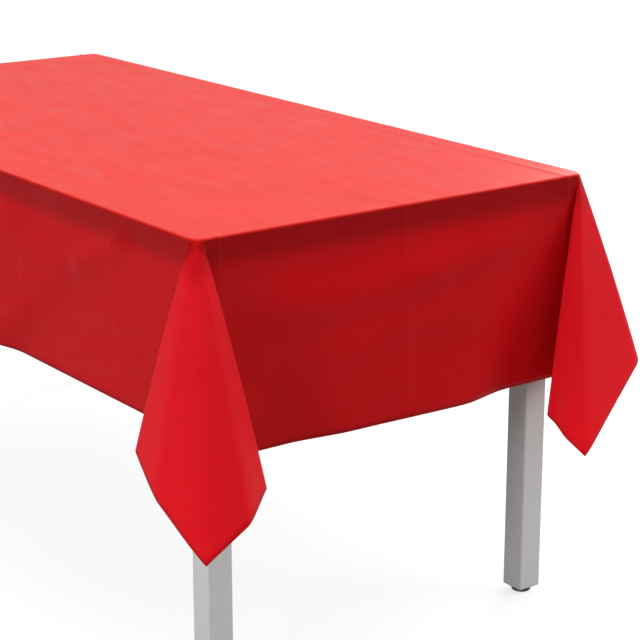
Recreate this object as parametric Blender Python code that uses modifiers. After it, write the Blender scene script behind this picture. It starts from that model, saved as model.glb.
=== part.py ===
"""A rectangular table with four screw-on legs, dressed with a thin film tablecloth.

Frame: metres, +Z up, origin on the floor under the middle of the table. X runs along the
table, and the long front side faces -Y.

The table is a board on four aprons. Each leg is drawn into its corner by a hanger bolt, a
bent steel corner plate and a nut, and stands on a levelling foot that screws into a bush.
The cloth is one sheet in reality. Here it is a top panel, four drops and four corner flaps,
which are flat and convex, so that each keeps its true place and leaves the table open below.
"""

import math

import bmesh
import bpy
from mathutils import Matrix, Vector

# ---------------------------------------------------------------- driving dimensions, metres
TABLE_LENGTH = 1.600
TABLE_WIDTH = 0.762
TABLE_HEIGHT = 0.750
GAP = 0.0003                      # clearance between pieces that rest on each other
BORE_END_ROOM = 0.001             # bored past the end of a bolt or a screw
CUTTER_OVERRUN = 0.005            # a cutter's length beyond the face it opens

DECK_THICKNESS = 0.025
DECK_CORNER_RADIUS = 0.020
DECK_EDGE_ROUND = 0.002

LEG_SIZE = 0.045
LEG_INSET = 0.035                 # deck edge to the leg's outer face
LEG_BOTTOM = 0.0085               # leg's lower end above the floor
LEG_EDGE_ROUND = 0.0025

APRON_THICKNESS = 0.018
APRON_HEIGHT = 0.080
APRON_SETBACK = 0.011             # leg's outer face to the apron's outer face
APRON_EDGE_ROUND = 0.0015
RAIL_HEIGHT = 0.060

PLATE_THICKNESS = 0.0025
PLATE_HEIGHT = 0.050
PLATE_REACH = 0.190               # the plate's diagonal meets both deck edges this far out
PLATE_FLANGE = 0.026

BOLT_RADIUS = 0.004
BOLT_IN_LEG = 0.030               # length inside the leg, from its inner edge
BOLT_LENGTH = 0.072
BOLT_CLEARANCE = 0.0004
NUT_ACROSS_FLATS = 0.013
NUT_THICKNESS = 0.0065

BRACKET_WIDTH = 0.030
BRACKET_FLANGE = 0.028
BRACKET_THICKNESS = 0.002
BRACKET_OFFSET = 0.420            # from the middle of the table, along X
SCREW_RADIUS = 0.0019
SCREW_DEPTH = 0.013
SCREW_HEAD_RADIUS = 0.0040
SCREW_HEAD_HEIGHT = 0.0024
SCREW_CROWN_RADIUS = 0.0028       # flat top of a head, inside its rounded rim
SCREW_CROWN_HEIGHT = 0.0015       # where the rim of a head starts to round over
SCREW_TIP_RADIUS = 0.0006
SCREW_TIP_LENGTH = 0.003

BUSH_RADIUS = 0.0065
BUSH_LENGTH = 0.024
FOOT_RADIUS = 0.0165
FOOT_PAD_HEIGHT = 0.0065
FOOT_RIM_HEIGHT = 0.0029
FOOT_SHOULDER_RADIUS = 0.0091
FOOT_BOTTOM_CHAMFER = 0.0008
STEM_RADIUS = 0.0040
STEM_TOP = 0.036
STEM_CHAMFER = 0.0006
STEM_ROOM = 0.010                 # bored above the bush, for the end of the stem

CLOTH_WIDTH = 1.372               # flat size of the sheet
CLOTH_LENGTH = 2.286
FILM = 0.0008                     # thickness given to the panels
CLOTH_CLEAR = 0.0015              # deck edge to the inside of a drop
FLAP_HALF_ANGLE = 21.0            # degrees each side of a flap's middle line
FLAP_LEAN = 13.0                  # degrees from vertical, the tip outwards
FLAP_TOP_WIDTH = 0.026
FLAP_APEX_ROOM = 0.003            # from the cloth's rounded corner to the top of a flap
FOLD_ANGLE = 22.5                 # degrees from a drop's end to the fold beside its flap

ROD_SEGMENTS = 20
HEXAGON = 6
SCREW_SEGMENTS = 16
FOOT_SEGMENTS = 24
CORNER_STEPS = 6
BEVEL_STEPS = 2
SHARP_ANGLE = 40.0                # degrees; sharper edges are rounded or kept crisp
MERGE_DISTANCE = 0.00001

# ---------------------------------------------------------------- derived sizes
HALF_X = TABLE_LENGTH / 2
HALF_Y = TABLE_WIDTH / 2
DECK_UNDERSIDE = TABLE_HEIGHT - DECK_THICKNESS
FRAME_TOP = DECK_UNDERSIDE - GAP
APRON_BOTTOM = FRAME_TOP - APRON_HEIGHT
APRON_OUTSIDE = LEG_INSET + APRON_SETBACK
APRON_INSIDE = APRON_OUTSIDE + APRON_THICKNESS
LEG_INSIDE = LEG_INSET + LEG_SIZE
LEG_MIDDLE = LEG_INSET + LEG_SIZE / 2
BOLT_HEIGHT = (FRAME_TOP + APRON_BOTTOM) / 2
SIDE_DROP = (CLOTH_WIDTH - TABLE_WIDTH) / 2
END_DROP = (CLOTH_LENGTH - TABLE_LENGTH) / 2
CLOTH_UNDERSIDE = TABLE_HEIGHT + GAP
CLOTH_TOP = CLOTH_UNDERSIDE + FILM

# name of each corner, its side of X and Y, and the way that its flap faces, in degrees
# anticlockwise from +X when seen from above
CORNERS = (
    ("front_right", 1, -1, -48.0),
    ("rear_right", 1, 1, 15.0),
    ("rear_left", -1, 1, 132.0),
    ("front_left", -1, -1, 195.0),
)

PALE_LACQUER = ("white_lacquer", (0.83, 0.82, 0.79), 0.35, 0.0)
BOARD = ("laminated_board", (0.80, 0.78, 0.74), 0.45, 0.0)
RAIL_WOOD = ("pale_wood", (0.66, 0.52, 0.36), 0.55, 0.0)
ZINC = ("zinc_plated_steel", (0.62, 0.63, 0.65), 0.35, 1.0)
FOOT_PLASTIC = ("grey_plastic", (0.30, 0.30, 0.31), 0.55, 0.0)
RED_FILM = ("red_film", (0.80, 0.045, 0.055), 0.30, 0.0)

COLLECTION_NAME = "table_with_tablecloth"
CUTTER_COLLECTION_NAME = "cutters"


# ---------------------------------------------------------------- scene helpers
def clear_scene():
    """Remove whatever the file holds."""
    for item in list(bpy.data.objects):
        bpy.data.objects.remove(item, do_unlink=True)


def collection(name):
    """Return the collection of that name, linked to the scene."""
    found = bpy.data.collections.get(name)
    if found is None:
        found = bpy.data.collections.new(name)
        bpy.context.scene.collection.children.link(found)
    return found


def material(finish):
    """Return the Principled material for a (name, colour, roughness, metallic) finish."""
    name, colour, roughness, metallic = finish
    found = bpy.data.materials.get(name)
    if found is None:
        found = bpy.data.materials.new(name)
        found.use_nodes = True
        shader = found.node_tree.nodes["Principled BSDF"]
        shader.inputs["Base Color"].default_value = (*colour, 1.0)
        shader.inputs["Roughness"].default_value = roughness
        shader.inputs["Metallic"].default_value = metallic
    return found


def place(name, mesh, finish, location=(0.0, 0.0, 0.0)):
    """Link a new part with its own origin at location."""
    part = bpy.data.objects.new(name, mesh)
    part.location = location
    mesh.materials.append(material(finish))
    collection(COLLECTION_NAME).objects.link(part)
    return part


def as_cutter(part):
    """Turn a part into a cutter, which the finished model doesn't show."""
    collection(COLLECTION_NAME).objects.unlink(part)
    collection(CUTTER_COLLECTION_NAME).objects.link(part)
    part.hide_render = True
    part.display_type = "WIRE"
    return part


def cut(part, cutter):
    """Subtract a cutter from a part."""
    boolean = part.modifiers.new("cut_" + cutter.name, "BOOLEAN")
    boolean.operation = "DIFFERENCE"
    boolean.solver = "EXACT"
    boolean.object = cutter


def round_edges(part, width):
    """Round the sharp edges of a part."""
    bevel = part.modifiers.new("round_edges", "BEVEL")
    bevel.width = width
    bevel.segments = BEVEL_STEPS
    bevel.limit_method = "ANGLE"
    bevel.angle_limit = math.radians(SHARP_ANGLE)


def mesh_from(builder, name):
    """Run a function that fills a bmesh, and return the mesh."""
    form = bmesh.new()
    builder(form)
    mesh = bpy.data.meshes.new(name)
    form.to_mesh(mesh)
    form.free()
    return mesh


# ---------------------------------------------------------------- shapes
def box(name, low, high, finish):
    """A block between two opposite corners, its origin in its middle."""
    size = Vector(high) - Vector(low)

    def build(form):
        bmesh.ops.create_cube(form, size=1.0)
        bmesh.ops.scale(form, vec=size, verts=form.verts)

    return place(name, mesh_from(build, name), finish, (Vector(low) + Vector(high)) / 2)


def rod(name, start, end, radius, finish, segments=ROD_SEGMENTS):
    """A round rod between two points, or a hexagonal one."""
    start, end = Vector(start), Vector(end)
    length = (end - start).length
    turn = Vector((0, 0, 1)).rotation_difference(end - start).to_matrix().to_4x4()

    def build(form):
        bmesh.ops.create_cone(
            form, cap_ends=True, segments=segments, radius1=radius, radius2=radius,
            depth=length, matrix=turn,
        )

    part = place(name, mesh_from(build, name), finish, (start + end) / 2)
    if segments > HEXAGON:
        part.data.set_sharp_from_angle(angle=math.radians(SHARP_ANGLE))
    return part


def turned(name, profile, finish, axis_point, steps):
    """A turned piece: a profile of (radius, height) pairs spun about Z, listed downwards."""
    mesh = bpy.data.meshes.new(name)
    points = [(radius, 0.0, height) for radius, height in profile]
    mesh.from_pydata(points, [(i, i + 1) for i in range(len(points) - 1)], [])
    part = place(name, mesh, finish, axis_point)
    spin = part.modifiers.new("turn", "SCREW")
    spin.axis = "Z"
    spin.steps = steps
    spin.render_steps = steps
    spin.use_merge_vertices = True
    spin.merge_threshold = MERGE_DISTANCE
    spin.use_normal_calculate = True
    return part


def bent_strip(name, path, direction, width, thickness, finish):
    """A strip of sheet metal: a path of points swept sideways, then given its thickness."""
    sweep = Vector(direction).normalized() * width
    start = [Vector(point) - sweep / 2 for point in path]

    def build(form):
        verts = [form.verts.new(point) for point in start]
        edges = [form.edges.new(pair) for pair in zip(verts, verts[1:])]
        swept = bmesh.ops.extrude_edge_only(form, edges=edges)["geom"]
        moved = [item for item in swept if isinstance(item, bmesh.types.BMVert)]
        bmesh.ops.translate(form, verts=moved, vec=sweep)

    part = place(name, mesh_from(build, name), finish)
    shell = part.modifiers.new("thickness", "SOLIDIFY")
    shell.thickness = thickness
    shell.offset = 0.0
    shell.use_even_offset = True
    return part


def plate_outline(name, outline, thickness, finish):
    """A flat closed outline in XY, given its thickness equally above and below."""
    curve = bpy.data.curves.new(name + "_outline", "CURVE")
    curve.dimensions = "2D"
    curve.fill_mode = "BOTH"
    curve.extrude = thickness / 2
    spline = curve.splines.new("POLY")
    spline.points.add(len(outline) - 1)
    for point, (x, y) in zip(spline.points, outline):
        point.co = (x, y, 0.0, 1.0)
    spline.use_cyclic_u = True
    guide = bpy.data.objects.new(name + "_outline", curve)
    collection(COLLECTION_NAME).objects.link(guide)
    depsgraph = bpy.context.evaluated_depsgraph_get()
    mesh = bpy.data.meshes.new_from_object(guide.evaluated_get(depsgraph))
    bpy.data.objects.remove(guide, do_unlink=True)
    form = bmesh.new()
    form.from_mesh(mesh)
    bmesh.ops.remove_doubles(form, verts=form.verts, dist=MERGE_DISTANCE)
    form.to_mesh(mesh)
    form.free()
    mesh.materials.clear()
    return place(name, mesh, finish)


def rounded_rectangle(half_x, half_y, radius):
    """Outline of a rectangle with round corners, anticlockwise."""
    outline = []
    for quarter, (sx, sy) in enumerate(((1, 1), (-1, 1), (-1, -1), (1, -1))):
        centre = (sx * (half_x - radius), sy * (half_y - radius))
        for step in range(CORNER_STEPS + 1):
            angle = math.pi / 2 * (quarter + step / CORNER_STEPS)
            outline.append((centre[0] + radius * math.cos(angle),
                            centre[1] + radius * math.sin(angle)))
    return outline


# ---------------------------------------------------------------- the table
def table_point(sx, sy, from_end, from_side, z):
    """A point given by its distance in from the deck's end and side at one corner."""
    return Vector((sx * (HALF_X - from_end), sy * (HALF_Y - from_side), z))


def corner_box(name, sx, sy, near, far, z_low, z_high, finish):
    """A block between two (from_end, from_side) pairs at one corner."""
    a = table_point(sx, sy, *near, z_low)
    b = table_point(sx, sy, *far, z_high)
    low = [min(p, q) for p, q in zip(a, b)]
    high = [max(p, q) for p, q in zip(a, b)]
    return box(name, low, high, finish)


def make_deck():
    """The board that the cloth lies on."""
    outline = rounded_rectangle(HALF_X, HALF_Y, DECK_CORNER_RADIUS)
    deck = plate_outline("table_top", outline, DECK_THICKNESS, BOARD)
    deck.location = (0.0, 0.0, TABLE_HEIGHT - DECK_THICKNESS / 2)
    round_edges(deck, DECK_EDGE_ROUND)
    return deck


def make_aprons():
    """The four aprons between the legs, and the rail across the middle."""
    reach_x = HALF_X - LEG_INSIDE - GAP
    reach_y = HALF_Y - LEG_INSIDE - GAP
    aprons = {}
    for name, sy in (("front", -1), ("rear", 1)):
        faces = sorted((sy * (HALF_Y - APRON_OUTSIDE), sy * (HALF_Y - APRON_INSIDE)))
        aprons[name] = box("apron_" + name, (-reach_x, faces[0], APRON_BOTTOM),
                           (reach_x, faces[1], FRAME_TOP), PALE_LACQUER)
    for name, sx in (("left", -1), ("right", 1)):
        faces = sorted((sx * (HALF_X - APRON_OUTSIDE), sx * (HALF_X - APRON_INSIDE)))
        aprons[name] = box("apron_" + name, (faces[0], -reach_y, APRON_BOTTOM),
                           (faces[1], reach_y, FRAME_TOP), PALE_LACQUER)
    for apron in aprons.values():
        round_edges(apron, APRON_EDGE_ROUND)
    rail_reach = HALF_Y - APRON_INSIDE - GAP
    rail = box("centre_rail", (-APRON_THICKNESS / 2, -rail_reach, FRAME_TOP - RAIL_HEIGHT),
               (APRON_THICKNESS / 2, rail_reach, FRAME_TOP), RAIL_WOOD)
    round_edges(rail, APRON_EDGE_ROUND)
    return aprons


def make_leg(corner, sx, sy):
    """A square leg, bored for its hanger bolt and for the bush of its foot."""
    leg = corner_box("leg_" + corner, sx, sy, (LEG_INSET, LEG_INSET), (LEG_INSIDE, LEG_INSIDE),
                     LEG_BOTTOM, FRAME_TOP, PALE_LACQUER)
    round_edges(leg, LEG_EDGE_ROUND)
    middle = table_point(sx, sy, LEG_MIDDLE, LEG_MIDDLE, 0.0)
    bore_top = LEG_BOTTOM + BUSH_LENGTH + STEM_ROOM
    foot_bore = as_cutter(rod("foot_bore_" + corner, middle - Vector((0, 0, CUTTER_OVERRUN)),
                              middle + Vector((0, 0, bore_top)), BUSH_RADIUS + GAP,
                              PALE_LACQUER))
    cut(leg, foot_bore)
    inward = Vector((-sx, -sy, 0)).normalized()
    edge = table_point(sx, sy, LEG_INSIDE, LEG_INSIDE, BOLT_HEIGHT)
    bore_end = edge - inward * (BOLT_IN_LEG + BORE_END_ROOM)
    bolt_bore = as_cutter(rod("bolt_bore_" + corner, bore_end, edge + inward * CUTTER_OVERRUN,
                              BOLT_RADIUS + BOLT_CLEARANCE, PALE_LACQUER))
    cut(leg, bolt_bore)


def make_corner_plate(corner, sx, sy):
    """The bent steel plate that bridges two aprons behind a leg, with its bolt and nut."""
    seat = APRON_INSIDE + GAP + PLATE_THICKNESS / 2
    bend = PLATE_REACH - seat
    path = [table_point(sx, sy, end, side, BOLT_HEIGHT)
            for end, side in ((bend + PLATE_FLANGE, seat), (bend, seat),
                              (seat, bend), (seat, bend + PLATE_FLANGE))]
    plate = bent_strip("corner_plate_" + corner, path, (0, 0, 1), PLATE_HEIGHT,
                       PLATE_THICKNESS, ZINC)
    inward = Vector((-sx, -sy, 0)).normalized()
    on_plate = table_point(sx, sy, PLATE_REACH / 2, PLATE_REACH / 2, BOLT_HEIGHT)
    overrun = inward * CUTTER_OVERRUN
    cut(plate, as_cutter(rod("plate_bore_" + corner, on_plate - overrun, on_plate + overrun,
                             BOLT_RADIUS + BOLT_CLEARANCE, ZINC)))
    edge = table_point(sx, sy, LEG_INSIDE, LEG_INSIDE, BOLT_HEIGHT)
    start = edge - inward * BOLT_IN_LEG
    rod("hanger_bolt_" + corner, start, start + inward * BOLT_LENGTH, BOLT_RADIUS, ZINC)
    face = on_plate + inward * (PLATE_THICKNESS / 2 + GAP)
    far_face = face + inward * NUT_THICKNESS
    nut = rod("leg_nut_" + corner, face, far_face, NUT_ACROSS_FLATS / math.sqrt(3), ZINC,
              HEXAGON)
    cut(nut, as_cutter(rod("nut_bore_" + corner, face - overrun, far_face + overrun,
                           BOLT_RADIUS + BOLT_CLEARANCE, ZINC)))


def make_foot(corner, sx, sy):
    """A threaded bush in the leg's end, and the levelling foot that turns in it."""
    middle = table_point(sx, sy, LEG_MIDDLE, LEG_MIDDLE, 0.0)
    bush_top = middle + Vector((0, 0, LEG_BOTTOM + BUSH_LENGTH))
    bush = rod("foot_bush_" + corner, middle + Vector((0, 0, LEG_BOTTOM)), bush_top,
               BUSH_RADIUS, ZINC)
    cut(bush, as_cutter(rod("bush_bore_" + corner, middle,
                            bush_top + Vector((0, 0, CUTTER_OVERRUN)), STEM_RADIUS + GAP,
                            ZINC)))
    profile = (
        (0.0, STEM_TOP), (STEM_RADIUS - STEM_CHAMFER, STEM_TOP),
        (STEM_RADIUS, STEM_TOP - STEM_CHAMFER), (STEM_RADIUS, FOOT_PAD_HEIGHT),
        (FOOT_SHOULDER_RADIUS, FOOT_PAD_HEIGHT), (FOOT_RADIUS, FOOT_RIM_HEIGHT),
        (FOOT_RADIUS, FOOT_BOTTOM_CHAMFER), (FOOT_RADIUS - FOOT_BOTTOM_CHAMFER, 0.0),
        (0.0, 0.0),
    )
    turned("levelling_foot_" + corner, profile, FOOT_PLASTIC, middle, FOOT_SEGMENTS)


def make_screw(name, head_seat, direction):
    """A pan-head screw: a shank driven along direction from where its head seats."""
    direction = Vector(direction).normalized()
    head_top = -(SCREW_HEAD_HEIGHT + GAP)
    profile = (
        (0.0, SCREW_DEPTH), (SCREW_TIP_RADIUS, SCREW_DEPTH),
        (SCREW_RADIUS, SCREW_DEPTH - SCREW_TIP_LENGTH), (SCREW_RADIUS, -GAP),
        (SCREW_HEAD_RADIUS, -GAP), (SCREW_HEAD_RADIUS, -SCREW_CROWN_HEIGHT),
        (SCREW_CROWN_RADIUS, head_top), (0.0, head_top),
    )
    screw = turned(name, profile, ZINC, head_seat, SCREW_SEGMENTS)
    screw.rotation_mode = "QUATERNION"
    screw.rotation_quaternion = Vector((0, 0, 1)).rotation_difference(direction)


def make_bracket(side, sx, sy, deck, apron):
    """An angle bracket that ties the deck to a long apron, with its two screws."""
    x = sx * BRACKET_OFFSET
    seat = APRON_INSIDE + GAP + BRACKET_THICKNESS / 2
    under = FRAME_TOP - BRACKET_THICKNESS / 2
    wall_y = sy * (HALF_Y - seat)
    inner_y = sy * (HALF_Y - seat - BRACKET_FLANGE)
    path = [(x, wall_y, under - BRACKET_FLANGE), (x, wall_y, under), (x, inner_y, under)]
    bracket = bent_strip("angle_bracket_" + side, path, (1, 0, 0), BRACKET_WIDTH,
                         BRACKET_THICKNESS, ZINC)
    skin = BRACKET_THICKNESS / 2
    up_seat = Vector((x, (wall_y + inner_y) / 2, under - skin))
    out_seat = Vector((x, wall_y - sy * skin, under - BRACKET_FLANGE / 2))
    for label, at, drive, backing in (("deck", up_seat, Vector((0, 0, 1)), deck),
                                      ("apron", out_seat, Vector((0, sy, 0)), apron)):
        hole = as_cutter(rod("hole_" + label + "_" + side, at - drive * CUTTER_OVERRUN,
                             at + drive * (SCREW_DEPTH + BORE_END_ROOM), SCREW_RADIUS + GAP,
                             ZINC, SCREW_SEGMENTS))
        cut(bracket, hole)
        cut(backing, hole)
        make_screw("bracket_screw_" + label + "_" + side, at, drive)


# ---------------------------------------------------------------- the cloth
def make_cloth_top():
    """The part of the cloth that lies on the deck."""
    outline = rounded_rectangle(HALF_X, HALF_Y, DECK_CORNER_RADIUS)
    panel = plate_outline("cloth_top", outline, FILM, RED_FILM)
    panel.location = (0.0, 0.0, CLOTH_UNDERSIDE + FILM / 2)


def make_drops():
    """The four straight sides that hang from the deck's edges."""
    inner_x, inner_y = HALF_X + CLOTH_CLEAR, HALF_Y + CLOTH_CLEAR
    straight_x = HALF_X - DECK_CORNER_RADIUS
    straight_y = HALF_Y - DECK_CORNER_RADIUS
    for name, sy in (("front", -1), ("rear", 1)):
        faces = sorted((sy * inner_y, sy * (inner_y + FILM)))
        box("cloth_drop_" + name, (-straight_x, faces[0], CLOTH_TOP - SIDE_DROP),
            (straight_x, faces[1], CLOTH_TOP), RED_FILM)
    for name, sx in (("left", -1), ("right", 1)):
        faces = sorted((sx * inner_x, sx * (inner_x + FILM)))
        box("cloth_drop_" + name, (faces[0], -straight_y, CLOTH_TOP - END_DROP),
            (faces[1], straight_y, CLOTH_TOP), RED_FILM)


def flap_outline(end_is_right):
    """The kite of one corner flap: X across, Y down it, the apex at the origin."""
    half = math.radians(FLAP_HALF_ANGLE)
    side_fold = SIDE_DROP / math.cos(math.radians(FOLD_ANGLE))
    end_fold = END_DROP / math.cos(math.radians(FOLD_ANGLE))
    tip_length = math.hypot(SIDE_DROP, END_DROP)
    tip_angle = math.atan2(END_DROP, SIDE_DROP) - math.pi / 4
    outline = [
        (-FLAP_TOP_WIDTH / 2, 0.0),
        (-side_fold * math.sin(half), -side_fold * math.cos(half)),
        (tip_length * math.sin(tip_angle), -tip_length * math.cos(tip_angle)),
        (end_fold * math.sin(half), -end_fold * math.cos(half)),
        (FLAP_TOP_WIDTH / 2, 0.0),
    ]
    if not end_is_right:
        outline = [(-x, y) for x, y in reversed(outline)]
    return outline


def make_flap(corner, sx, sy, facing):
    """The spare cloth of one corner: a kite that hangs from the corner and leans outwards."""
    flap = plate_outline("cloth_flap_" + corner, flap_outline(sx * sy < 0), FILM, RED_FILM)
    stand_off = CLOTH_CLEAR + FILM
    inner = DECK_CORNER_RADIUS
    diagonal = Vector((sx, sy, 0)).normalized()
    apex = (table_point(sx, sy, inner, inner, CLOTH_TOP - FILM / 2)
            + diagonal * (DECK_CORNER_RADIUS + stand_off + FLAP_APEX_ROOM))
    upright = Matrix.Rotation(math.pi / 2, 4, "X")
    lean = Matrix.Rotation(-math.radians(FLAP_LEAN), 4, "X")
    face = Matrix.Rotation(math.radians(facing + 90), 4, "Z")
    flap.matrix_world = Matrix.Translation(apex) @ face @ lean @ upright


def main():
    """Build the table and its cloth."""
    clear_scene()
    deck = make_deck()
    aprons = make_aprons()
    for corner, sx, sy, facing in CORNERS:
        make_leg(corner, sx, sy)
        make_corner_plate(corner, sx, sy)
        make_foot(corner, sx, sy)
        side, end = corner.split("_")
        make_bracket(corner, sx, sy, deck, aprons[side])
        make_flap(corner, sx, sy, facing)
    make_cloth_top()
    make_drops()


main()
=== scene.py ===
"""A thin red plastic tablecloth lying over a four-legged table.

The cloth is one sheet, worked out from the size it was cut to: flat on the board, bent over its
edges, and folded at each corner so that the spare film stands out as a kite-shaped flap. The table
under it is the fixed frame's own parts, each with its own finish.
"""
from __future__ import annotations

import logging
import math
from dataclasses import dataclass, field, replace
from enum import Enum
from typing import Iterable, Sequence

import bmesh
import bpy
import numpy as np
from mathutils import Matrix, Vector


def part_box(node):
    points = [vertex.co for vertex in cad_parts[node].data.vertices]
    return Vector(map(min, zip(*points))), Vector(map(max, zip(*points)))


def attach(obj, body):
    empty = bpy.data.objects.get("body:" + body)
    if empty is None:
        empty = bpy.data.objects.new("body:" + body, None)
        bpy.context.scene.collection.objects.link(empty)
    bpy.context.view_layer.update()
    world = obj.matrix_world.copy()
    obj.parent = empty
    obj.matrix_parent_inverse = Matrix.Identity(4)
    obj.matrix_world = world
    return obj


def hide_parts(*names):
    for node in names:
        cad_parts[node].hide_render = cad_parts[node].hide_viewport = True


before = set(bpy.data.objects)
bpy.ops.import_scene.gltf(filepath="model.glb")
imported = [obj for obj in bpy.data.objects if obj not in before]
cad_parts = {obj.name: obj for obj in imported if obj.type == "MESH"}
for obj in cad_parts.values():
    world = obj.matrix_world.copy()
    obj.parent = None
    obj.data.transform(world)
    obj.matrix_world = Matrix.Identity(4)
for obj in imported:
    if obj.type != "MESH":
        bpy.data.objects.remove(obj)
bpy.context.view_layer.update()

LOG = logging.getLogger("tablecloth")
Colour = tuple[float, float, float, float]
Place = tuple[float, float, float]
Pair = tuple[float, float]
TINY = 1e-9
WHITE: Colour = (1.0, 1.0, 1.0, 1.0)


# -------------------------------------------------------------------------------
# Finishes
# -------------------------------------------------------------------------------

class NodeBook:
    """A material's node tree, with short ways to add and join its nodes."""

    def __init__(self, name: str) -> None:
        """Start a material with one Principled shader.

        Args:
            name: the material's name.
        """
        self.material = bpy.data.materials.new(name)
        self.material.use_nodes = True
        self.tree = self.material.node_tree
        self.shader = self.tree.nodes["Principled BSDF"]
        self.coordinates = self.tree.nodes.new("ShaderNodeTexCoord")

    def node(self, kind: str, **inputs: object) -> bpy.types.Node:
        """Add a node and set its inputs by name.

        Args:
            kind: the node's type, without its ShaderNode prefix.
            inputs: values for its sockets, with underscores for spaces.

        Returns:
            The new node.
        """
        made = self.tree.nodes.new("ShaderNode" + kind)
        for key, value in inputs.items():
            made.inputs[key.replace("_", " ")].default_value = value
        return made

    def join(self, source: bpy.types.NodeSocket, target: bpy.types.NodeSocket) -> None:
        """Link one socket to another."""
        self.tree.links.new(source, target)

    def mapped(self, scale: Sequence[float] = (1.0, 1.0, 1.0),
               space: str = "Object") -> bpy.types.NodeSocket:
        """Give coordinates stretched by a scale.

        Args:
            scale: repeats per metre along each axis.
            space: Object, or UV for the sheet's own flat coordinates.

        Returns:
            The mapped coordinates.
        """
        mapping = self.node("Mapping", Scale=scale)
        self.join(self.coordinates.outputs[space], mapping.inputs["Vector"])
        return mapping.outputs["Vector"]

    def noise(self, where: bpy.types.NodeSocket, scale: float, detail: float = 4.0,
              distortion: float = 0.0) -> bpy.types.NodeSocket:
        """Add a noise pattern.

        Args:
            where: its coordinates.
            scale: its fineness.
            detail: its octaves.
            distortion: how far it is warped.

        Returns:
            The noise value.
        """
        made = self.node("TexNoise", Scale=scale, Detail=detail, Distortion=distortion)
        self.join(where, made.inputs["Vector"])
        return made.outputs["Fac"]

    def spread(self, value: bpy.types.NodeSocket, low: float = 0.0,
               high: float = 1.0) -> bpy.types.NodeSocket:
        """Stretch a pattern's middle range to run from low to high."""
        made = self.node("MapRange", From_Min=0.3, From_Max=0.7, To_Min=low, To_Max=high)
        self.join(value, made.inputs["Value"])
        return made.outputs["Result"]

    def arithmetic(self, operation: str,
                   *values: bpy.types.NodeSocket | float) -> bpy.types.NodeSocket:
        """Combine values with one step of arithmetic."""
        made = self.tree.nodes.new("ShaderNodeMath")
        made.operation = operation
        for value, socket in zip(values, made.inputs):
            if isinstance(value, bpy.types.NodeSocket):
                self.join(value, socket)
            else:
                socket.default_value = value
        return made.outputs["Value"]

    def step(self, value: bpy.types.NodeSocket, low: float, high: float) -> bpy.types.NodeSocket:
        """Rise smoothly from 0 to 1 as a value goes from low to high."""
        made = self.node("MapRange", From_Min=low, From_Max=high)
        made.interpolation_type = "SMOOTHSTEP"
        self.join(value, made.inputs["Value"])
        return made.outputs["Result"]

    def blend(self, factor: bpy.types.NodeSocket, first: Colour | bpy.types.NodeSocket,
              second: Colour | bpy.types.NodeSocket, way: str = "MIX") -> bpy.types.NodeSocket:
        """Mix two colours by a pattern.

        Args:
            factor: the pattern.
            first: the colour where it is 0.
            second: the colour where it is 1.
            way: how the second is laid over the first.

        Returns:
            The mixed colour.
        """
        made = self.tree.nodes.new("ShaderNodeMix")
        made.data_type = "RGBA"
        made.blend_type = way
        self.join(factor, made.inputs[0])
        for socket, colour in zip(made.inputs[6:8], (first, second)):
            if isinstance(colour, bpy.types.NodeSocket):
                self.join(colour, socket)
            else:
                socket.default_value = colour
        return made.outputs[2]

    def bump(self, height: bpy.types.NodeSocket, distance: float,
             after: bpy.types.NodeSocket | None = None) -> bpy.types.NodeSocket:
        """Turn a height pattern into a bump.

        Args:
            height: the pattern.
            distance: its depth in metres.
            after: a bump that this one is laid over.

        Returns:
            The normal.
        """
        made = self.node("Bump", Strength=1.0, Distance=distance)
        self.join(height, made.inputs["Height"])
        if after is not None:
            self.join(after, made.inputs["Normal"])
        return made.outputs["Normal"]

    def colour(self, pattern: bpy.types.NodeSocket, first: Colour, second: Colour) -> None:
        """Colour the shader between two colours by a pattern."""
        self.join(self.blend(pattern, first, second), self.shader.inputs["Base Color"])

    def finish(self, roughness: bpy.types.NodeSocket, normal: bpy.types.NodeSocket,
               **inputs: object) -> bpy.types.Material:
        """Give the shader its roughness, bump and plain values.

        Args:
            roughness: the roughness pattern.
            normal: the bump.
            inputs: values for its other sockets, with underscores for spaces.

        Returns:
            The finished material.
        """
        self.join(roughness, self.shader.inputs["Roughness"])
        self.join(normal, self.shader.inputs["Normal"])
        self.set(**inputs)
        return self.material

    def set(self, **inputs: object) -> None:
        """Set the shader's own sockets, with underscores for spaces in their names."""
        for key, value in inputs.items():
            self.shader.inputs[key.replace("_", " ")].default_value = value


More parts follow.
